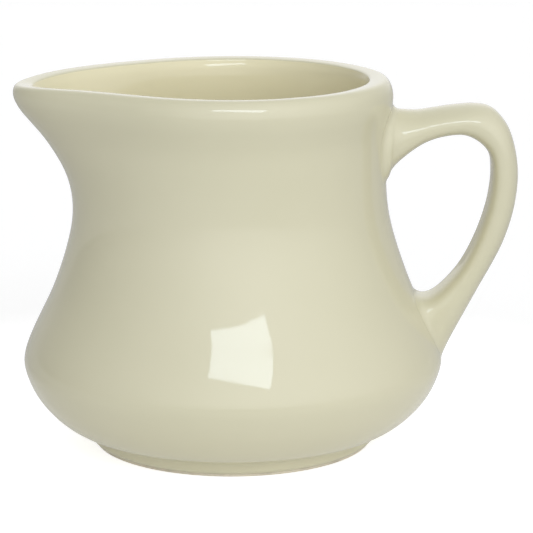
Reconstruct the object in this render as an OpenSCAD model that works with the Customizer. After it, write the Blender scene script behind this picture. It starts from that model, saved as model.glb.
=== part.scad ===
// Porcelain cream jug: a bell-shaped cast body with a rolled rim and a pulled pouring lip,
// a cast loop handle luted on at two joints, and the bare ring that the jug stands on.
// Millimetres. +Z is up, the pouring lip points along -X and the handle along +X.
// The origin is the centre of the standing ring, on the surface that the jug stands on.

/* [Body] */
// Height to the crest of the rim
height = 81.5; // [75:0.5:88]
// Largest outer radius of the belly
belly_r = 46.4; // [43:0.1:49]
// Height of the widest part of the belly
belly_z = 18.5; // [17:0.5:20]
// Outer radius of the neck
neck_r = 33.9; // [31:0.1:36]
// Outer radius of the foot
foot_r = 32.2; // [30:0.1:33]
// Height of the foot, up to the crease under the belly
foot_h = 3.2; // [2.8:0.1:4]
// Thickness of the wall
wall = 4.5; // [3.5:0.1:5.5]
// Thickness of the floor of the jug
floor_t = 4.8; // [3.5:0.1:6]

/* [Rim] */
// How far the rolled rim stands out from the neck
rim_out = 1.3; // [0.6:0.1:2]
// Thickness of the rim, from its outside to the mouth
rim_t = 6.2; // [5:0.1:7]

/* [Pouring lip] */
// How far the lip is pulled out past the round rim
lip_reach = 13.7; // [10:0.1:17]
// Height at which the lip is half pulled out
lip_middle = 69.5; // [66:0.5:72]
// Half width of the pull as an angle about the axis
lip_half_angle = 29; // [24:1:36]
// How far the tip of the lip dips below the rim
lip_dip = 1.3; // [0:0.1:3]

/* [Standing ring] */
// Outer radius of the bare ring
ring_out_r = 31.0; // [29:0.1:32]
// Inner radius of the bare ring
ring_in_r = 27.8; // [25:0.1:28.5]
// Thickness of the bare ring
ring_t = 0.8; // [0.6:0.1:1]
// Depth of the hollow under the foot
under_depth = 2.2; // [1.6:0.1:3]

/* [Handle] */
// How far the handle stands out past the belly
handle_out = 16.4; // [15:0.1:18]
// Width of the grip across the loop
grip_w = 12.4; // [10:0.1:14]
// Width of the upper root where it meets the neck
upper_root_w = 19; // [16:0.5:21]
// Width of the lower root where it meets the belly
lower_root_w = 15; // [13:0.5:18]
// Thickness of the slip that joins each root to the body
slip_t = 0.8; // [0.6:0.1:1.2]
// How far the slip spreads past the edge of a root
slip_spread = 0.7; // [0.4:0.1:1]

/* [Fineness] */
// Facets round the body
facets = 60; // [40:4:72]
// Facets round the handle
handle_facets = 24; // [16:2:32]

/* [Hidden] */
glaze = "#d8d4bc";
bare_clay = "#efe9da";
pull_ease = 5.9;   // height over which the pull eases in and out
pull_round = 1.85; // power of the lip's fall to either side
dip_from = 60;     // height above which the rim dips towards the lip
dip_half_angle = 20; // half width of that dip
oval_round = 0.86; // 1 is an ellipse, less is squarer
oval_sag = 0.25;   // how far the widest part sits towards the finger side, as a share of half
loop_steps = 3;    // rings from one station of the handle to the next
rim_r = neck_r + rim_out; // outer radius of the rim
mouth_r = rim_r - rim_t;  // inner radius of the mouth
floor_z = under_depth + floor_t;

// ---- curves -------------------------------------------------------------------------------

// Point at t, 0 to 1, on the Catmull-Rom span from b to c
function span(a, b, c, d, t) =
    0.5 * ((2 * b) + (c - a) * t + (2 * a - 5 * b + 4 * c - d) * t * t
           + (3 * b - a - 3 * c + d) * t * t * t);

// Smooth curve through knots, with steps points on each span
function curve(knots, steps) =
    let (n = len(knots))
    [for (i = [0 : n - 2], k = [0 : steps - 1])
        span(knots[max(i - 1, 0)], knots[i], knots[i + 1], knots[min(i + 2, n - 1)], k / steps),
     knots[n - 1]];

// Point at s, counted in knots, on the smooth curve through them
function along(knots, s) =
    let (n = len(knots), i = min(floor(s), n - 2))
    span(knots[max(i - 1, 0)], knots[i], knots[i + 1], knots[min(i + 2, n - 1)], s - i);

function unit(v) = v / norm(v);
function mean(points, i = 0, sum = [0, 0, 0]) =
    i == len(points) ? sum / len(points) : mean(points, i + 1, sum + points[i]);

// ---- solids -------------------------------------------------------------------------------

// Closed skin over rings of points, each end closed by a fan about its middle
module skin(rings) {
    n = len(rings[0]);
    m = len(rings);
    points = concat([for (ring = rings) each ring], [mean(rings[0]), mean(rings[m - 1])]);
    faces = concat(
        [for (j = [0 : m - 2], i = [0 : n - 1])
            let (a = j * n + i, b = j * n + (i + 1) % n) [a, b, b + n]],
        [for (j = [0 : m - 2], i = [0 : n - 1])
            let (a = j * n + i, b = j * n + (i + 1) % n) [a, b + n, a + n]],
        [for (i = [0 : n - 1]) [(i + 1) % n, i, m * n]],
        [for (i = [0 : n - 1]) [(m - 1) * n + i, (m - 1) * n + (i + 1) % n, m * n + 1]]);
    polyhedron(points = points, faces = faces);
}

// ---- body ---------------------------------------------------------------------------------

// Outside of the wall from the foot up over the bead to the crest, as [radius, height]
outside = [
    [ring_out_r + 0.4, ring_t],
    [foot_r - 0.15, ring_t + 0.7],
    [foot_r, foot_h - 0.7],
    [foot_r + 0.4, foot_h + 0.1],
    [foot_r + 2.0, foot_h + 0.9],
    [foot_r + 4.6, foot_h + 1.8],
    [belly_r - 6.1, belly_z - 11.1],
    [belly_r - 2.5, belly_z - 7],
    [belly_r - 0.3, belly_z - 2.2],
    [belly_r - 0.1, belly_z + 2],
    [belly_r - 2.9, belly_z + 8.8],
    [belly_r - 6.3, belly_z + 15.8],
    [neck_r + 3.2, height - 39.2],
    [neck_r + 0.9, height - 31.2],
    [neck_r, height - 23.5],
    [neck_r - 0.05, height - 15],
    [neck_r + 0.1, height - 11.5],
    [rim_r - 0.7, height - 8.6],
    [rim_r - 0.2, height - 6.2],
    [rim_r, height - 4.1],
    [rim_r - 0.15, height - 2.7],
    [rim_r - 0.5, height - 1.6],
    [rim_r - 1.0, height - 0.75],
    [rim_r - 1.6, height - 0.2],
    [rim_r - 2.4, height]];

// The crest, nearly flat, and its tight inner edge down to the flare of the mouth
crest = [
    [mouth_r + 2.5, height - 0.06],
    [mouth_r + 1.5, height - 0.2],
    [mouth_r + 1.1, height - 0.4],
    [mouth_r + 0.95, height - 0.7],
    [mouth_r + 0.55, height - 1.7],
    [mouth_r + 0.3, height - 2.9],
    [mouth_r + 0.05, height - 5.4]];

// Inside of the wall from the mouth down to the floor, as [radius, height]
inside = [
    [mouth_r, height - 8.5],
    [neck_r - wall - 0.1, height - 15],
    [neck_r - wall, height - 23.5],
    [neck_r + 1.0 - wall, height - 31.2],
    [neck_r + 3.1 - wall, height - 39.2],
    [belly_r - 6.4 - wall, belly_z + 15.8],
    [belly_r - 3.0 - wall, belly_z + 8.8],
    [belly_r - 0.2 - wall, belly_z + 2.4],
    [belly_r - 1.3 - wall, belly_z - 3],
    [belly_r - 5.2 - wall, belly_z - 7.6],
    [foot_r - 1.5, floor_z + 2.0],
    [foot_r - 8, floor_z + 0.2],
    [foot_r - 16, floor_z],
    [3, floor_z]];

// The wall's whole section: hollow of the foot, outside, crest, inside, floor
hollow_section = [[3, under_depth], [ring_in_r - 1.8, under_depth],
    [ring_in_r - 0.4, ring_t + 0.2], [ring_in_r - 0.2, ring_t]];
outer_section = curve(outside, 2);
wall_section = concat(hollow_section, outer_section, crest, inside);

// How far the lip is pulled out at a height, and how that falls off at an angle from the lip
function ease(z) = 1 / (1 + exp((lip_middle - z) / pull_ease));
function pull(z) = lip_reach * ease(z) / ease(height);
function share(a, half = lip_half_angle) = exp(-pow(abs(a) / half, pull_round));

// A point of the section at radius r and height z, carried to angle a from the lip. The wall
// keeps its thickness square to its own outline, so the lip's cheeks are as thick as the rest.
function shaped(r, z, a) =
    let (out = neck_r + pull(z) * share(a),
         slope = pull(z) * (share(a + 0.5) - share(a - 0.5)) * 180 / PI,
         square_out = unit([out, -slope]),
         off = r - neck_r,
         along_out = out + off * square_out[0],
         across = off * square_out[1],
         dip = lip_dip * share(a, dip_half_angle) * max(0, (z - dip_from) / (height - dip_from)))
    [-(along_out * cos(a) - across * sin(a)),
     along_out * sin(a) + across * cos(a),
     z - dip];

// Angle from the lip of facet i: the facets are finer at the lip than at the handle
function facet_angle(i) = let (t = 360 * i / facets) (t > 180 ? t - 360 : t) - 14 * sin(t);

// Skin of a section carried all the way round
module round_skin(section) {
    skin([for (p = section) [for (i = [0 : facets - 1]) shaped(p[0], p[1], facet_angle(i))]]);
}

// The outside of the body as one filled solid, grown by grow, to trim the roots against
module filled_body(grow) {
    round_skin(concat([[1, under_depth]], [for (p = outer_section) p + [grow, 0]],
                      [[1, height]]));
}

module body() {
    color(glaze) round_skin(wall_section);
}

module standing_ring() {
    soft = 0.35; // the ring's worn edges
    color(bare_clay)
        rotate_extrude($fn = 96)
            polygon([[ring_in_r, ring_t], [ring_in_r, soft], [ring_in_r + soft, 0],
                     [ring_out_r - soft, 0], [ring_out_r, soft], [ring_out_r, ring_t]]);
}

// ---- handle -------------------------------------------------------------------------------

// Stations round the loop from inside the neck to inside the belly. Each is
// [inner edge, outer edge, half width], with the edges as [x, height] in the loop's plane.
top_x = belly_r + handle_out; // furthest reach of the handle
stations = [
    [[neck_r - 3.0, height - 25.0], [neck_r - 2.4, height - 5.0], upper_root_w * 0.52],
    [[neck_r - 0.1, height - 22.3], [neck_r + 0.6, height - 6.2], upper_root_w * 0.48],
    [[neck_r + 1.0, height - 20.0], [neck_r + 1.9, height - 6.9], upper_root_w * 0.42],
    [[neck_r + 3.0, height - 17.9], [neck_r + 3.5, height - 7.1], grip_w * 0.54],
    [[neck_r + 6.3, height - 15.3], [neck_r + 6.7, height - 7.2], grip_w * 0.51],
    [[top_x - 19.7, height - 13.7], [top_x - 18.6, height - 6.7], grip_w / 2],
    [[top_x - 16.3, height - 12.7], [top_x - 14.5, height - 6.1], grip_w / 2],
    [[top_x - 12.6, height - 12.4], [top_x - 9.6, height - 5.8], grip_w / 2],
    [[top_x - 9.7, height - 13.4], [top_x - 5.9, height - 6.7], grip_w / 2],
    [[top_x - 7.3, height - 15.4], [top_x - 2.8, height - 10.0], grip_w / 2],
    [[top_x - 6.1, height - 17.8], [top_x - 1.1, height - 14.0], grip_w / 2],
    [[top_x - 5.8, height - 21.0], [top_x - 0.1, height - 19.0], grip_w / 2],
    [[top_x - 6.0, height - 24.4], [top_x, height - 23.8], grip_w / 2],
    [[top_x - 6.8, height - 28.8], [top_x - 0.9, height - 30.0], grip_w / 2],
    [[top_x - 8.5, height - 34.2], [top_x - 2.9, height - 36.4], grip_w / 2],
    [[top_x - 10.7, height - 39.2], [top_x - 5.4, height - 41.6], grip_w / 2],
    [[top_x - 13.0, height - 43.0], [top_x - 7.9, height - 46.2], grip_w / 2],
    [[belly_r + 0.6, height - 46.2], [belly_r + 6.2, height - 50.6], grip_w * 0.51],
    [[belly_r - 1.7, height - 48.1], [belly_r + 4.0, height - 54.8], grip_w * 0.53],
    [[belly_r - 3.7, height - 48.8], [belly_r + 1.9, height - 58.9], lower_root_w * 0.46],
    [[belly_r - 5.8, height - 48.5], [belly_r + 0.2, height - 62.7], lower_root_w * 0.49],
    [[belly_r - 8.6, height - 47.0], [belly_r - 1.8, height - 66.7], lower_root_w * 0.5]];

// Closed ring of points round one station: an egg-shaped oval with a slightly flattened face
function oval(station, grow) =
    let (low = station[0], high = station[1],
         centre = (low + high) / 2,
         half = (high - low) / 2 + unit(high - low) * grow,
         wide = station[2] + grow)
    [for (i = [0 : handle_facets - 1])
        let (a = 360 * i / handle_facets,
             c = sign(cos(a)) * pow(abs(cos(a)), oval_round),
             s = sign(sin(a)) * pow(abs(sin(a)), oval_round),
             h = c - oval_sag * s * s)
        [centre[0] + half[0] * h, wide * s, centre[1] + half[1] * h]];

// The loop between two stations, with its surface moved out by grow
module loop(from, to, grow) {
    inner_edge = [for (s = stations) s[0]];
    outer_edge = [for (s = stations) s[1]];
    half_width = [for (s = stations) [s[2], 0]];
    skin([for (k = [from * loop_steps : to * loop_steps])
        let (s = k / loop_steps)
        oval([along(inner_edge, s), along(outer_edge, s), along(half_width, s)[0]], grow)]);
}

module handle() {
    color(glaze)
        resize([0, 0, 0])
            difference() {
                loop(0, len(stations) - 1, 0);
                filled_body(slip_t);
            }
}

// The slip under one root: it follows the body and spreads a little past the root's edge
module slip_joint(from, to) {
    color(glaze)
        resize([0, 0, 0])
            difference() {
                intersection() {
                    loop(from, to, slip_spread);
                    filled_body(slip_t);
                }
                filled_body(0);
            }
}

module upper_slip_joint() {
    slip_joint(0, 4);
}

module lower_slip_joint() {
    slip_joint(len(stations) - 6, len(stations) - 1);
}

body();
standing_ring();
handle();
upper_slip_joint();
lower_slip_joint();
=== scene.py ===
"""A cream porcelain jug: a cast body with a pulled pouring lip, a luted handle and a bare foot.

Lengths in the classes are millimetres, as a potter would note them; every finished mesh is in
metres. The lip points along -X, the handle along +X, and the jug stands on z = 0.
"""

import logging
import math
from dataclasses import dataclass, field
from enum import Enum
from typing import Iterable

import bmesh
import bpy
from mathutils import Matrix, Vector, noise
from mathutils.bvhtree import BVHTree

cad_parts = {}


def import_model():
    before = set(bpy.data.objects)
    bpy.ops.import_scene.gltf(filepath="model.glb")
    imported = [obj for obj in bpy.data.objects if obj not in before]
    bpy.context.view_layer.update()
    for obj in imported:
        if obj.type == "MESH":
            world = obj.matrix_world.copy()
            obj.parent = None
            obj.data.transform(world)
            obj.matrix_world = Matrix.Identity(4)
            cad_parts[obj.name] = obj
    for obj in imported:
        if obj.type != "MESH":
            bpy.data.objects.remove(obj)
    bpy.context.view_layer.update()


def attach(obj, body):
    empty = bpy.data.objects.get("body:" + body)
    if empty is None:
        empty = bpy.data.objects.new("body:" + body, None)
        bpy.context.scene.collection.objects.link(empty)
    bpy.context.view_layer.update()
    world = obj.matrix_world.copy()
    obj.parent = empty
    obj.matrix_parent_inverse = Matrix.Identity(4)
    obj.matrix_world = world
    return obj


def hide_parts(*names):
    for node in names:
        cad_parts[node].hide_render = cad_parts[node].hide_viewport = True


LOG = logging.getLogger("cream_jug")
MM = 0.001
MERGE_MM = 1e-4  # points of a spun section closer than this are one point


class Slot(Enum):
    """The record's material slots."""

    GLAZE = "cream_glaze"
    CLAY = "bare_clay"


# ---- curves and meshes ------------------------------------------------------------------------


def span(a: Vector, b: Vector, c: Vector, d: Vector, t: float) -> Vector:
    """Return the point at t, 0 to 1, on the Catmull-Rom span from b to c."""
    return 0.5 * (
        2 * b + (c - a) * t + (2 * a - 5 * b + 4 * c - d) * t**2 + (3 * b - a - 3 * c + d) * t**3
    )


def along(knots: list[Vector], s: float) -> Vector:
    """Return a point of the smooth curve through knots.

    Args:
        knots: The points that the curve passes through.
        s: The place on the curve, counted in knots.

    Returns:
        The point at s.
    """
    last = len(knots) - 1
    i = min(max(int(s), 0), last - 1)
    return span(knots[max(i - 1, 0)], knots[i], knots[i + 1], knots[min(i + 2, last)], s - i)


def smooth_curve(knots: list[Vector], steps: int) -> list[Vector]:
    """Return the curve through knots as points, with steps of them to each span."""
    count = (len(knots) - 1) * steps
    return [along(knots, k / steps) for k in range(count + 1)]


def arc(centre: Vector, radius: float, start: float, end: float, steps: int) -> list[Vector]:
    """Return the points of a circular arc.

    Args:
        centre: The arc's centre.
        radius: The arc's radius.
        start: The angle of the first point, in degrees.
        end: The angle of the last point, in degrees.
        steps: The number of steps from the first point to the last.

    Returns:
        The points, in order.
    """
    angles = [math.radians(start + (end - start) * i / steps) for i in range(steps + 1)]
    return [centre + radius * Vector((math.cos(a), math.sin(a))) for a in angles]


DRAW_IN = 0.5  # share of the way to the neighbours' middle that a point is drawn
LET_OUT = -0.53  # and then let out again, a little further, so that the run doesn't shrink


def faired(points: list[Vector], passes: int) -> list[Vector]:
    """Return a run of points with its curvature evened out and its two ends kept.

    Each pass draws the points in and lets them out again, so the run keeps its size.

    Args:
        points: The run, in order.
        passes: The number of passes.

    Returns:
        The evened run, as long as the first.
    """
    for step in (DRAW_IN, LET_OUT) * passes:
        inner = [b + step * ((a + c) / 2 - b) for a, b, c in zip(points, points[1:], points[2:])]
        points = [points[0], *inner, points[-1]]
    return points


def finish_mesh(shape: bmesh.types.BMesh, name: str) -> bpy.types.Object:
    """Turn a shape in millimetres into a smooth-shaded object in metres.

    Args:
        shape: The shape. It is freed.
        name: The object's name.

    Returns:
        The object, linked to the scene, with its place in its mesh.
    """
    bmesh.ops.scale(shape, vec=(MM, MM, MM), verts=shape.verts)
    for face in shape.faces:
        face.smooth = True
    mesh = bpy.data.meshes.new(name)
    shape.to_mesh(mesh)
    shape.free()
    piece = bpy.data.objects.new(name, mesh)
    bpy.context.scene.collection.objects.link(piece)
    return piece


def spun(section: Iterable[Vector], steps: int, closed: bool) -> bmesh.types.BMesh:
    """Spin a section about the Z axis.

    Args:
        section: Points as (radius, height).
        steps: The number of steps round the axis.
        closed: Whether the last point joins the first.

    Returns:
        The closed shape, with its faces outwards.
    """
    shape = bmesh.new()
    verts = [shape.verts.new((-p.x, 0.0, p.y)) for p in section]
    pairs = list(zip(verts, verts[1:])) + ([(verts[-1], verts[0])] if closed else [])
    edges = [shape.edges.new(pair) for pair in pairs]
    bmesh.ops.spin(
        shape, geom=verts + edges, axis=(0, 0, 1), cent=(0, 0, 0), angle=math.tau,
        steps=steps, use_merge=True,
    )
    bmesh.ops.remove_doubles(shape, verts=shape.verts, dist=MERGE_MM)
    bmesh.ops.recalc_face_normals(shape, faces=shape.faces)
    return shape


# ---- finishes ---------------------------------------------------------------------------------


class NodeSheet:
    """A material's node tree, with short ways to add to it."""

    def __init__(self, name: str) -> None:
        """Start a material with one Principled shader and its output."""
        self.material = bpy.data.materials.new(name)
        self.material.use_nodes = True
        self.tree = self.material.node_tree
        self.shader = self.tree.nodes["Principled BSDF"]
        self.place = self.tree.nodes.new("ShaderNodeTexCoord").outputs["Object"]

    def link(self, source: bpy.types.NodeSocket, target: bpy.types.NodeSocket) -> None:
        """Join two sockets."""
        self.tree.links.new(source, target)

    def noise(self, per_metre: float, detail: float, rough: float = 0.5) -> bpy.types.NodeSocket:
        """Add a noise pattern on the piece's own coordinates.

        Args:
            per_metre: How many features there are to a metre.
            detail: The number of finer layers.
            rough: How strong the finer layers are.

        Returns:
            The pattern, about 0 to 1.
        """
        node = self.tree.nodes.new("ShaderNodeTexNoise")
        node.inputs["Scale"].default_value = per_metre
        node.inputs["Detail"].default_value = detail
        node.inputs["Roughness"].default_value = rough
        self.link(self.place, node.inputs["Vector"])
        return node.outputs["Fac"]

    def ramp(
        self, source: bpy.types.NodeSocket, low: float, high: float, start: float, end: float
    ) -> bpy.types.NodeSocket:
        """Carry a value from one range to another, clamped at both ends.

        Args:
            source: The value.
            low: The value that gives start.
            high: The value that gives end.
            start: The result at low.
            end: The result at high.

        Returns:
            The carried value.
        """
        node = self.tree.nodes.new("ShaderNodeMapRange")
        for key, value in zip(("From Min", "From Max", "To Min", "To Max"), (low, high, start, end)):
            node.inputs[key].default_value = value
        self.link(source, node.inputs["Value"])
        return node.outputs["Result"]

    def mix(
        self,
        amount: bpy.types.NodeSocket,
        first: bpy.types.NodeSocket | tuple[float, float, float],
        second: bpy.types.NodeSocket | tuple[float, float, float],
    ) -> bpy.types.NodeSocket:
        """Blend two colours.

        Args:
            amount: 0 for the first colour, 1 for the second.
            first: A colour or a socket that carries one.
            second: A colour or a socket that carries one.

        Returns:
            The blended colour.
        """
        node = self.tree.nodes.new("ShaderNodeMix")
        node.data_type = "RGBA"
        self.link(amount, node.inputs["Factor"])
        colour_sockets = [s for s in node.inputs if s.type == "RGBA"]
        for socket, colour in zip(colour_sockets, (first, second)):
            if isinstance(colour, tuple):
                socket.default_value = (*colour, 1.0)
            else:
                self.link(colour, socket)
        return next(s for s in node.outputs if s.type == "RGBA")

    def bump(self, height: bpy.types.NodeSocket, depth_mm: float) -> None:
        """Raise the surface by a pattern, depth_mm from its low to its high."""
        node = self.tree.nodes.new("ShaderNodeBump")
        node.inputs["Strength"].default_value = 1.0
        node.inputs["Distance"].default_value = depth_mm * MM
        self.link(height, node.inputs["Height"])
        self.link(node.outputs["Normal"], self.shader.inputs["Normal"])


@dataclass(frozen=True)
class CreamGlaze:
    """A clear gloss glaze over a cream clay body."""

    name: str = "cream_glaze"
    cream: tuple[float, float, float] = (0.660, 0.628, 0.452)
    thin: tuple[float, float, float] = (0.672, 0.638, 0.464)
    iron: tuple[float, float, float] = (0.300, 0.235, 0.130)
    drift_per_metre: float = 38.0
    gloss_per_metre: float = 120.0
    gloss_low: float = 0.035
    gloss_high: float = 0.075
    refraction: float = 1.5
    ripple_per_metre: float = 230.0
    ripple_mm: float = 0.012
    specks_per_metre: float = 95.0
    speck_edge: tuple[float, float] = (0.016, 0.030)
    speck_strength: float = 0.75

    def make(self) -> bpy.types.Material:
        """Return the material."""
        sheet = NodeSheet(self.name)
        drift = sheet.ramp(sheet.noise(self.drift_per_metre, 3.0), 0.35, 0.65, 0.0, 1.0)
        colour = sheet.mix(drift, self.cream, self.thin)
        colour = sheet.mix(self.specks(sheet), colour, self.iron)
        sheet.link(colour, sheet.shader.inputs["Base Color"])
        gloss = sheet.ramp(sheet.noise(self.gloss_per_metre, 4.0), 0.3, 0.7, self.gloss_low, self.gloss_high)
        sheet.link(gloss, sheet.shader.inputs["Roughness"])
        sheet.shader.inputs["IOR"].default_value = self.refraction
        sheet.bump(sheet.noise(self.ripple_per_metre, 2.0), self.ripple_mm)
        return sheet.material

    def specks(self, sheet: NodeSheet) -> bpy.types.NodeSocket:
        """Return a mask of the few iron specks that show through the glaze.

        Args:
            sheet: The node tree to add to.

        Returns:
            1 on a speck, 0 elsewhere.
        """
        cells = sheet.tree.nodes.new("ShaderNodeTexVoronoi")
        cells.inputs["Scale"].default_value = self.specks_per_metre
        sheet.link(sheet.place, cells.inputs["Vector"])
        near = sheet.ramp(cells.outputs["Distance"], *self.speck_edge, 1.0, 0.0)
        chosen = sheet.tree.nodes.new("ShaderNodeSeparateColor")
        sheet.link(cells.outputs["Color"], chosen.inputs["Color"])
        few = sheet.ramp(chosen.outputs["Red"], 0.90, 0.91, 0.0, self.speck_strength)
        both = sheet.tree.nodes.new("ShaderNodeMath")
        both.operation = "MULTIPLY"
        sheet.link(near, both.inputs[0])
        sheet.link(few, both.inputs[1])
        return both.outputs["Value"]


OUTSIDE_GLAZE = CreamGlaze()
# The inside's glaze is a lighter copy of the cream glaze: painted light that brightens the inside, which the
# lamps leave in shade.
INSIDE_GLAZE_PAINTED_LIGHT = CreamGlaze("inner_glaze_painted_light", cream=(0.770, 0.716, 0.490), thin=(0.780, 0.726, 0.502))


@dataclass(frozen=True)
class BareClay:
    """The fired clay where the glaze was wiped off the foot, rubbed grey by tables."""

    clay: tuple[float, float, float] = (0.72, 0.66, 0.53)
    rubbed: tuple[float, float, float] = (0.52, 0.47, 0.38)
    roughness: float = 0.82
    grain_mm: float = 0.05

    def make(self) -> bpy.types.Material:
        """Return the material."""
        sheet = NodeSheet("bare_clay")
        wear = sheet.ramp(sheet.noise(160.0, 5.0, 0.65), 0.45, 0.70, 0.0, 1.0)
        sheet.link(sheet.mix(wear, self.clay, self.rubbed), sheet.shader.inputs["Base Color"])
        sheet.shader.inputs["Roughness"].default_value = self.roughness
        sheet.bump(sheet.noise(1800.0, 4.0, 0.6), self.grain_mm)
        return sheet.material


# ---- body -------------------------------------------------------------------------------------


@dataclass
class PouringLip:
    """How the lip is pulled out of the round wall."""

    height: float = 81.5
    base_radius: float = 33.9
    reach: float = 13.7
    middle: float = 69.5
    ease: float = 5.9
    half_angle: float = 29.0
    roundness: float = 1.85
    dip: float = 1.3
    dip_from: float = 60.0
    dip_half_angle: float = 20.0

    def rise(self, z: float) -> float:
        """Return how much of the pull has come in at a height, 0 to 1."""
        return 1 / (1 + math.exp((self.middle - z) / self.ease))

    def share(self, angle: float, half_angle: float) -> float:
        """Return how much of the pull is left at an angle in degrees from the lip, 0 to 1."""
        return math.exp(-((abs(angle) / half_angle) ** self.roundness))

    def shaped(self, radius: float, z: float, angle: float) -> Vector:
        """Carry a point of the round wall to the pulled wall.

        The wall keeps its thickness square to its own outline.

        Args:
            radius: The point's radius in the round wall.
            z: Its height.
            angle: Its angle from the lip, in degrees.

        Returns:
            The point's place.
        """
        pull = self.reach * self.rise(z) / self.rise(self.height)
        share = self.share(angle, self.half_angle)
        step = 0.5
        slope = math.degrees(
            pull * (self.share(angle + step, self.half_angle) - self.share(angle - step, self.half_angle))
        )
        out = self.base_radius + pull * share
        square = Vector((out, -slope)).normalized()
        off = radius - self.base_radius
        reach, across = out + off * square.x, off * square.y
        a = math.radians(angle)
        drop = self.dip * self.share(angle, self.dip_half_angle)
        drop *= max(0.0, (z - self.dip_from) / (self.height - self.dip_from))
        return Vector((
            -(reach * math.cos(a) - across * math.sin(a)),
            reach * math.sin(a) + across * math.cos(a),
            z - drop,
        ))


@dataclass
class Body:
    """The cast body: foot, belly, neck, rim and pouring lip.

    Each run is where the section is faired, as its first and last knot.
    """

    height: float = 81.5
    belly_radius: float = 46.4
    belly_height: float = 18.5
    neck_radius: float = 33.9
    foot_radius: float = 32.2
    foot_height: float = 3.2
    wall: float = 4.5
    floor: float = 7.0
    rim_out: float = 1.3
    rim_thickness: float = 6.2
    under_depth: float = 2.2
    ring_inner: float = 27.8
    ring_outer: float = 31.0
    ring_thickness: float = 0.8
    steps_round: int = 168
    steps_span: int = 5
    lip_crowding: float = 14.0
    waviness: float = 0.07
    wave_sizes: tuple[float, float] = (21.0, 9.0)
    fine_wave_share: float = 0.35
    steady_height: float = 6.0
    fairing: int = 24
    outer_run: tuple[int, int] = (2, 15)
    inner_run: tuple[int, int] = (33, 43)
    lip: PouringLip = field(default_factory=PouringLip)

    def hollow(self) -> list[Vector]:
        """Return the hollow under the foot, from the axis to the bare ring."""
        low, ring = self.under_depth, self.ring_inner
        corner = arc(Vector((ring - 1.3, low - 1.1)), 1.1, 90, 0, 5)
        flat = [Vector((r, low - 0.25 * (r / ring) ** 4)) for r in (0.0, 5.0, 10.0, 15.0, 20.0, 24.0)]
        return flat + corner + [Vector((ring - 0.2, self.ring_thickness))]

    def outside(self) -> list[Vector]:
        """Return the outside of the wall, from the bare ring to under the rim."""
        belly, tall, neck, foot = self.belly_radius, self.belly_height, self.neck_radius, self.foot_radius
        low, ring, top = self.foot_height, self.ring_thickness, self.height
        knots = [
            (self.ring_outer + 0.4, ring), (foot - 0.15, ring + 0.7), (foot, low - 0.7),
            (foot + 0.4, low + 0.1), (foot + 2.0, low + 0.9), (foot + 4.6, low + 1.8),
            (belly - 6.1, tall - 11.1), (belly - 2.5, tall - 7.0), (belly - 0.3, tall - 2.2),
            (belly - 0.1, tall + 2.0), (belly - 2.9, tall + 8.8), (belly - 6.3, tall + 15.8),
            (neck + 3.2, top - 39.2), (neck + 0.9, top - 31.2), (neck, top - 23.5),
            (neck - 0.05, top - 15.0), (neck + 0.1, top - 11.5),
        ]
        return [Vector(k) for k in knots]

    def rim(self) -> list[Vector]:
        """Return the rim: its bead, its nearly flat crest and the flare of the mouth."""
        outer, top = self.neck_radius + self.rim_out, self.height
        mouth = outer - self.rim_thickness
        knots = [
            (outer - 0.7, top - 8.6), (outer - 0.2, top - 6.2), (outer, top - 4.1),
            (outer - 0.15, top - 2.7), (outer - 0.5, top - 1.6), (outer - 1.0, top - 0.75),
            (outer - 1.6, top - 0.2), (outer - 2.4, top), (mouth + 2.5, top - 0.06),
            (mouth + 1.5, top - 0.2), (mouth + 1.1, top - 0.4), (mouth + 0.95, top - 0.7),
            (mouth + 0.55, top - 1.7), (mouth + 0.3, top - 2.9), (mouth + 0.05, top - 5.4),
        ]
        return [Vector(k) for k in knots]

    def inside(self) -> list[Vector]:
        """Return the inside of the wall, from the mouth to the middle of the floor."""
        wall, top, floor = self.wall, self.height, self.floor
        belly, tall = self.belly_radius - wall, self.belly_height
        neck, foot = self.neck_radius - wall, self.foot_radius
        mouth = self.neck_radius + self.rim_out - self.rim_thickness
        knots = [
            (mouth, top - 8.5), (neck - 0.1, top - 15.0), (neck, top - 23.5), (neck + 1.0, top - 31.2),
            (neck + 3.1, top - 39.2), (belly - 6.4, tall + 15.8), (belly - 3.0, tall + 8.8),
            (belly - 0.2, tall + 2.4), (belly - 1.3, tall - 3.0), (belly - 5.2, tall - 7.6),
            (foot - 1.5, floor + 2.0), (foot - 8.0, floor + 0.25), (foot - 16.0, floor),
            (8.0, floor), (0.0, floor),
        ]
        return [Vector(k) for k in knots]

    def section(self) -> list[Vector]:
        """Return the wall's whole section, from the hollow's middle round to the floor's."""
        wall = smooth_curve(self.outside() + self.rim() + self.inside(), self.steps_span)
        for knots in (self.outer_run, self.inner_run):
            first, last = (knot * self.steps_span for knot in knots)
            wall[first:last] = faired(wall[first:last], self.fairing)
        return self.hollow() + wall

    def crowded(self, angle: float) -> float:
        """Return an angle in degrees from the lip, drawn towards it so that steps are finer."""
        return angle - self.lip_crowding * math.sin(math.radians(angle))

    def build(self) -> bpy.types.Object:
        """Return the body's object: the spun wall with its lip pulled.

        The faces of its inside take the object's second material, a lighter glaze that paints light into the
        shaded inside.
        """
        shape = spun(self.section(), self.steps_round, closed=False)
        shape.normal_update()
        for face in shape.faces:
            face.material_index = int(self.is_inside(face))
        for vert in shape.verts:
            radius = math.hypot(vert.co.x, vert.co.y)
            angle = math.degrees(math.atan2(vert.co.y, -vert.co.x))
            place = self.lip.shaped(radius, vert.co.z, self.crowded(angle)) if radius > 1 else vert.co
            vert.co = place
        self.settle(shape)
        return finish_mesh(shape, "cream_body")

    def is_inside(self, face: bmesh.types.BMFace) -> bool:
        """Return whether a face of the round wall is on its inside, below the mouth's edge."""
        edge, most_outwards = 0.5, 0.3
        place = face.calc_center_median()
        outwards = Vector((place.x, place.y, 0.0)).normalized().dot(face.normal)
        return self.floor - edge < place.z < self.height - edge and outwards < most_outwards

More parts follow.
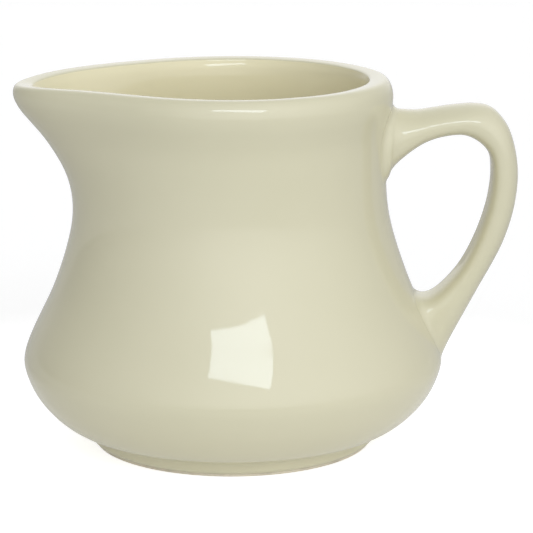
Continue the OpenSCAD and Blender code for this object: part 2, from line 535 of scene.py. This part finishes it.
    def settle(self, shape: bmesh.types.BMesh) -> None:
        """Give the wall the slight unevenness of a cast and fired piece."""
        shape.normal_update()
        broad, fine = self.wave_sizes
        moves = []
        for vert in shape.verts:
            free = min(max((vert.co.z - self.foot_height) / self.steady_height, 0.0), 1.0)
            amount = noise.noise(vert.co / broad) + self.fine_wave_share * noise.noise(vert.co / fine)
            moves.append(vert.normal * (amount * self.waviness * free))
        for vert, move in zip(shape.verts, moves):
            vert.co += move


@dataclass
class StandingRing:
    """The bare ring of clay that the jug stands on."""

    inner: float = 27.8
    outer: float = 31.0
    thickness: float = 0.8
    soft: float = 0.35
    steps_round: int = 168

    def build(self) -> bpy.types.Object:
        """Return the ring's object."""
        soft = self.soft
        section = (
            [Vector((self.inner, self.thickness))]
            + arc(Vector((self.inner + soft, soft)), soft, 180, 270, 4)
            + arc(Vector((self.outer - soft, soft)), soft, 270, 360, 4)
            + [Vector((self.outer, self.thickness))]
        )
        return finish_mesh(spun(section, self.steps_round, closed=True), "bare_standing_ring")


# ---- handle -----------------------------------------------------------------------------------


@dataclass(frozen=True)
class Station:
    """One section of the handle: its edges in the loop's plane and its half width."""

    inner: tuple[float, float]
    outer: tuple[float, float]
    half_width: float


@dataclass
class Root:
    """How one end of the handle meets the body."""

    name: str
    start: float
    towards: float
    rise: float
    spread: float


@dataclass
class Handle:
    """The cast loop handle and the slip that joins its two roots to the body.

    Its section is an oval. Sag moves the widest part towards the finger side, as a share of half.
    """

    height: float = 81.5
    belly_radius: float = 46.4
    neck_radius: float = 33.9
    stand_out: float = 16.4
    grip_width: float = 12.4
    upper_root_width: float = 18.2
    lower_root_width: float = 14.6
    squareness: float = 0.86
    sag: float = 0.25
    facets: int = 72
    rings: int = 150
    fillet_steps: int = 12
    sink: float = 0.03
    let_in: float = 0.5
    stride: float = 0.02
    coarse_steps: int = 60
    halvings: int = 24

    def stations(self) -> list[Station]:
        """Return the loop's stations, from inside the neck to inside the belly."""
        top, neck, belly = self.height, self.neck_radius, self.belly_radius
        far, grip = self.belly_radius + self.stand_out, self.grip_width / 2
        upper, lower = self.upper_root_width / 2, self.lower_root_width / 2
        return [
            Station((neck - 3.0, top - 25.0), (neck - 2.4, top - 5.0), upper * 1.04),
            Station((neck - 0.1, top - 22.3), (neck + 0.6, top - 6.2), upper * 0.96),
            Station((neck + 1.0, top - 20.0), (neck + 1.9, top - 6.9), upper * 0.84),
            Station((neck + 3.0, top - 17.9), (neck + 3.5, top - 7.1), grip * 1.09),
            Station((neck + 6.3, top - 15.3), (neck + 6.7, top - 7.2), grip * 1.02),
            Station((far - 19.7, top - 13.7), (far - 18.6, top - 6.7), grip),
            Station((far - 16.3, top - 12.7), (far - 14.5, top - 6.1), grip),
            Station((far - 12.6, top - 12.4), (far - 9.6, top - 5.8), grip),
            Station((far - 9.7, top - 13.4), (far - 5.9, top - 6.7), grip),
            Station((far - 7.3, top - 15.4), (far - 2.8, top - 10.0), grip),
            Station((far - 6.1, top - 17.8), (far - 1.1, top - 14.0), grip),
            Station((far - 5.8, top - 21.0), (far - 0.1, top - 19.0), grip),
            Station((far - 6.0, top - 24.4), (far, top - 23.8), grip),
            Station((far - 6.8, top - 28.8), (far - 0.9, top - 30.0), grip),
            Station((far - 8.5, top - 34.2), (far - 2.9, top - 36.4), grip),
            Station((far - 10.7, top - 39.2), (far - 5.4, top - 41.6), grip),
            Station((far - 13.0, top - 43.0), (far - 7.9, top - 46.2), grip),
            Station((belly + 0.6, top - 46.2), (belly + 6.2, top - 50.6), grip * 1.02),
            Station((belly - 1.7, top - 48.1), (belly + 4.0, top - 54.8), grip * 1.06),
            Station((belly - 3.7, top - 48.8), (belly + 1.9, top - 58.9), lower * 0.92),
            Station((belly - 5.8, top - 48.5), (belly + 0.2, top - 62.7), lower * 0.98),
            Station((belly - 8.6, top - 47.0), (belly - 1.8, top - 66.7), lower),
        ]

    def prepare(self, body: bpy.types.Object) -> None:
        """Take the stations' curves and the body's surface, which the roots are fitted to."""
        stations = self.stations()
        self.inner = [Vector(s.inner) for s in stations]
        self.outer = [Vector(s.outer) for s in stations]
        self.widths = [Vector((s.half_width, 0.0)) for s in stations]
        self.last = len(stations) - 1.0
        shape = bmesh.new()
        shape.from_mesh(body.data)
        bmesh.ops.scale(shape, vec=(1 / MM, 1 / MM, 1 / MM), verts=shape.verts)
        shape.normal_update()
        self.surface = BVHTree.FromBMesh(shape)
        shape.free()
        self.roots = (
            Root("upper", 4.0, 0.0, rise=1.5, spread=1.5),
            Root("lower", self.last - 5.0, self.last, rise=1.5, spread=1.3),
        )

    def at(self, s: float, turn: float) -> Vector:
        """Return a point of the loop's surface.

        Args:
            s: The place along the loop, counted in stations.
            turn: The angle round the section, 0 to 1, from the outer edge.

        Returns:
            The point.
        """
        low, high = along(self.inner, s), along(self.outer, s)
        a = turn * math.tau
        up = math.copysign(abs(math.cos(a)) ** self.squareness, math.cos(a))
        side = math.copysign(abs(math.sin(a)) ** self.squareness, math.sin(a))
        centre, half = (low + high) / 2, (high - low) / 2
        up -= self.sag * side * side
        wide = along(self.widths, s).x
        return Vector((centre.x + half.x * up, wide * side, centre.y + half.y * up))

    def depth(self, point: Vector) -> float:
        """Return how far a point is outside the body, in millimetres, negative inside."""
        nearest, normal, _, _ = self.surface.find_nearest(point)
        return (point - nearest).dot(normal)

    def meeting(self, root: Root, turn: float) -> float:
        """Return where a line along the loop meets the body.

        Args:
            root: The root to look at.
            turn: The line's angle round the section, 0 to 1.

        Returns:
            The place along the loop, counted in stations.
        """
        outside, inside = root.start, root.towards
        for k in range(1, self.coarse_steps + 1):
            s = root.start + (root.towards - root.start) * k / self.coarse_steps
            if self.depth(self.at(s, turn)) < 0:
                inside = s
                break
            outside = s
        for _ in range(self.halvings):
            middle = (outside + inside) / 2
            if self.depth(self.at(middle, turn)) < 0:
                inside = middle
            else:
                outside = middle
        return (outside + inside) / 2

    def lift_off(self, root: Root, turn: float) -> tuple[float, float]:
        """Return where a line meets the body and where its fillet leaves the loop.

        Args:
            root: The root to look at.
            turn: The line's angle round the section, 0 to 1.

        Returns:
            Both places along the loop, counted in stations.
        """
        met = self.meeting(root, turn)
        away = math.copysign(self.stride, root.start - root.towards)
        s, gone, last = met, 0.0, self.at(met, turn)
        while gone < root.rise:
            s += away
            point = self.at(s, turn)
            gone += (point - last).length
            last = point
        return met, s

    def fillet(self, root: Root, turn: float) -> list[Vector]:
        """Return the fillet's curve from the loop down to the body.

        Args:
            root: The root to look at.
            turn: The curve's angle round the section, 0 to 1.

        Returns:
            The curve's points. The last is a hair under the glaze of the body.
        """
        met, start = self.lift_off(root, turn)
        corner = self.at(met, turn)
        middle = (self.at(met, 0.0) + self.at(met, 0.5)) / 2
        _, normal, _, _ = self.surface.find_nearest(corner)
        out = corner - middle
        out = (out - out.dot(normal) * normal).normalized()
        foot, normal, _, _ = self.surface.find_nearest(corner + out * root.spread)
        foot = foot - normal * self.sink
        head = self.at(start, turn)
        steps = [k / self.fillet_steps for k in range(self.fillet_steps + 1)]
        return [(1 - t) ** 2 * head + 2 * t * (1 - t) * corner + t * t * foot for t in steps]

    def loft(self, rings: list[list[Vector]], name: str) -> bpy.types.Object:
        """Carry one ring of points through the others and close both ends.

        Args:
            rings: The rings, each with the same number of points.
            name: The object's name.

        Returns:
            The closed piece.
        """
        shape = bmesh.new()
        first = bmesh.ops.create_circle(shape, segments=len(rings[0]), radius=1.0)["verts"]
        for vert, place in zip(first, rings[0]):
            vert.co = place
        edges = list(shape.edges)
        verts = list(first)
        start_edges = list(edges)
        for ring in rings[1:]:
            made = bmesh.ops.extrude_edge_only(shape, edges=edges)["geom"]
            fresh = {v for v in made if isinstance(v, bmesh.types.BMVert)}
            following = []
            for vert in verts:
                partner = next(e.other_vert(vert) for e in vert.link_edges if e.other_vert(vert) in fresh)
                following.append(partner)
            for vert, place in zip(following, ring):
                vert.co = place
            edges = [e for e in made if isinstance(e, bmesh.types.BMEdge)
                     and e.verts[0] in fresh and e.verts[1] in fresh]
            verts = following
        for rim in (start_edges, edges):
            for edge in rim:
                edge.smooth = False
            cap = bmesh.ops.contextual_create(shape, geom=rim)["faces"]
            bmesh.ops.poke(shape, faces=cap)
        bmesh.ops.recalc_face_normals(shape, faces=shape.faces)
        return finish_mesh(shape, name)

    def build_loop(self) -> bpy.types.Object:
        """Return the handle's object, from one fillet to the other."""
        upper, lower = self.roots
        turns = [j / self.facets for j in range(self.facets)]
        starts = [self.lift_off(upper, turn)[1] for turn in turns]
        ends = [self.lift_off(lower, turn)[1] for turn in turns]
        rings = []
        for k in range(self.rings + 1):
            t = k / self.rings
            rings.append([self.at(a + (b - a) * t, turn) for a, b, turn in zip(starts, ends, turns)])
        return self.loft(rings, "handle_loop")

    def build_slip(self, root: Root) -> bpy.types.Object:
        """Return the fired slip round one root, with its back let into the body.

        Args:
            root: The root to look at.

        Returns:
            The slip's object.
        """
        turns = [j / self.facets for j in range(self.facets)]
        curves = [self.fillet(root, turn) for turn in turns]
        rings = [[curve[k] for curve in curves] for k in range(self.fillet_steps + 1)]
        backs = []
        for curve in curves:
            _, normal, _, _ = self.surface.find_nearest(curve[-1])
            backs.append(curve[-1] - normal * self.let_in)
        rings.append(backs)
        return self.loft(rings, f"{root.name}_slip")


# ---- studio -----------------------------------------------------------------------------------


@dataclass(frozen=True)
class SoftBox:
    """A rectangular soft light, in metres from the middle of the jug's foot."""

    name: str
    centre: tuple[float, float, float]
    side: tuple[float, float, float]
    up: tuple[float, float, float]
    size: tuple[float, float]
    watts: float
    colour: tuple[float, float, float] = (1.0, 1.0, 1.0)


@dataclass(frozen=True)
class Glow:
    """A broad bright part of the tent: its direction, how tight it is and how bright."""

    towards: tuple[float, float, float]
    focus: float
    strength: float


@dataclass
class Studio:
    """The table, the tent of light and the camera."""

    lens: float = 167.0
    eye: tuple[float, float, float] = (6.95, -535.7, 161.8)
    pitch: float = 12.909
    yaw: float = -0.06
    table_size: float = 6.0
    table_grey: float = 0.62
    table_roughness: float = 0.6
    table_shine: float = 0.1
    table_glow: float = 0.27
    table_white: float = 0.47
    glow_reach: tuple[float, float] = (0.05, 0.13)
    glows: tuple[Glow, ...] = (
        Glow((0.0, -1.0, 0.3), 8.0, 1.20),
        Glow((0.8, -0.8, 0.6), 8.0, 1.05),
        Glow((-0.8, -0.8, 0.6), 8.0, 0.34),
        Glow((1.0, 0.0, 0.3), 8.0, 0.48),
        Glow((-1.0, 0.0, 0.3), 8.0, 0.20),
        Glow((0.0, 1.0, 0.3), 8.0, 1.12),
        Glow((0.0, 0.6, 0.8), 8.0, 0.42),
    )
    boxes: tuple[SoftBox, ...] = (
        SoftBox(
            "window_strip", (-0.004, -0.892, 0.646), side=(0.623, 0.612, -0.487),
            up=(0.292, 0.396, 0.871), size=(0.895, 0.144), watts=2.3, colour=(0.76, 0.87, 1.0),
        ),
    )

    def place_camera(self) -> None:
        """Make the camera and use it."""
        data = bpy.data.cameras.new("camera")
        data.lens = self.lens
        data.sensor_width = 36.0
        data.clip_start, data.clip_end = 0.05, 20.0
        camera = bpy.data.objects.new("camera", data)
        camera.location = Vector(self.eye) * MM
        camera.rotation_euler = (math.radians(90 - self.pitch), 0, math.radians(self.yaw))
        bpy.context.scene.collection.objects.link(camera)
        bpy.context.scene.camera = camera

    def lay_table(self) -> None:
        """Lay the plain table: white to the camera, with light from below round the foot."""
        shape = bmesh.new()
        bmesh.ops.create_grid(shape, x_segments=1, y_segments=1, size=self.table_size / MM / 2)
        table = finish_mesh(shape, "table")
        sheet = NodeSheet("white_table")
        sheet.shader.inputs["Base Color"].default_value = (*(self.table_grey,) * 3, 1)
        sheet.shader.inputs["Roughness"].default_value = self.table_roughness
        sheet.shader.inputs["Specular IOR Level"].default_value = self.table_shine
        sheet.shader.inputs["Emission Color"].default_value = (1, 1, 1, 1)
        away = sheet.tree.nodes.new("ShaderNodeVectorMath")
        away.operation = "LENGTH"
        sheet.link(sheet.place, away.inputs[0])
        near, far = self.glow_reach
        under = sheet.ramp(away.outputs["Value"], near, far, self.table_glow, 0.0)
        seen = sheet.tree.nodes.new("ShaderNodeLightPath").outputs["Is Camera Ray"]
        both = sheet.tree.nodes.new("ShaderNodeMath")
        both.operation = "MULTIPLY_ADD"
        both.inputs[1].default_value = self.table_white
        sheet.link(seen, both.inputs[0])
        sheet.link(under, both.inputs[2])
        sheet.link(both.outputs["Value"], sheet.shader.inputs["Emission Strength"])
        table.data.materials.append(sheet.material)

    def hang(self, box: SoftBox) -> None:
        """Hang a soft light over the table."""
        data = bpy.data.lights.new(box.name, "AREA")
        data.shape = "RECTANGLE"
        data.size, data.size_y = box.size
        data.energy = box.watts
        data.color = box.colour
        lamp = bpy.data.objects.new(box.name, data)
        side = Vector(box.side).normalized()
        face = side.cross(Vector(box.up)).normalized()
        turn = Matrix((side, face.cross(side), face)).transposed()
        lamp.location = box.centre
        lamp.rotation_euler = turn.to_euler()
        lamp.visible_camera = False
        bpy.context.scene.collection.objects.link(lamp)

    def stretch_tent(self) -> None:
        """Put the white tent round the table, as a sky of a few broad glows."""
        world = bpy.data.worlds.new("tent")
        world.use_nodes = True
        nodes, links = world.node_tree.nodes, world.node_tree.links
        back = nodes["Background"]
        place = nodes.new("ShaderNodeTexCoord").outputs["Generated"]
        total = None
        for glow in self.glows:
            facing = nodes.new("ShaderNodeVectorMath")
            facing.operation = "DOT_PRODUCT"
            facing.inputs[1].default_value = Vector(glow.towards).normalized()
            links.new(place, facing.inputs[0])
            value = facing.outputs["Value"]
            for operation, amounts in (
                ("MULTIPLY_ADD", (0.5, 0.5)), ("POWER", (glow.focus,)), ("MULTIPLY", (glow.strength,)),
            ):
                step = nodes.new("ShaderNodeMath")
                step.operation = operation
                links.new(value, step.inputs[0])
                for socket, amount in zip(step.inputs[1:], amounts):
                    socket.default_value = amount
                value = step.outputs["Value"]
            if total is not None:
                both = nodes.new("ShaderNodeMath")
                links.new(total, both.inputs[0])
                links.new(value, both.inputs[1])
                value = both.outputs["Value"]
            total = value
        links.new(total, back.inputs["Color"])
        back.inputs["Strength"].default_value = 1.0
        bpy.context.scene.world = world

    def light(self) -> None:
        """Light the jug in its tent, with one strip of window light for the gloss."""
        self.stretch_tent()
        for box in self.boxes:
            self.hang(box)
        bpy.context.scene.view_settings.view_transform = "Standard"

    def set_up(self) -> None:
        """Make the camera, the table and the lights."""
        self.place_camera()
        self.lay_table()
        self.light()


# ---- the jug ----------------------------------------------------------------------------------


def dress(
    piece: bpy.types.Object, node: str, material: bpy.types.Material
) -> bpy.types.Object:
    """Finish a piece: its material, its body and the plain solid that it stands for.

    Args:
        piece: The piece.
        node: The plain solid's name.
        material: The piece's material.

    Returns:
        The same piece.
    """
    piece.data.materials.append(material)
    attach(piece, "root")
    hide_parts(node)
    LOG.info("%s: %d faces, stands for %s", piece.name, len(piece.data.polygons), node)
    return piece


def main() -> None:
    """Build the jug round its frame and light it."""
    logging.basicConfig(level=logging.INFO, format="%(name)s: %(message)s")
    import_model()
    Studio().set_up()

    glaze = OUTSIDE_GLAZE.make()
    inner_glaze_painted_light = INSIDE_GLAZE_PAINTED_LIGHT.make()
    clay = BareClay().make()
    body = dress(Body().build(), "body", glaze)
    # The inside takes the lighter glaze, painted light for its shade.
    body.data.materials.append(inner_glaze_painted_light)
    dress(StandingRing().build(), "standing_ring", clay)
    handle = Handle()
    handle.prepare(body)
    dress(handle.build_loop(), "handle", glaze)
    for root in handle.roots:
        dress(handle.build_slip(root), f"{root.name}_slip_joint", glaze)


if __name__ == "__main__":
    main()
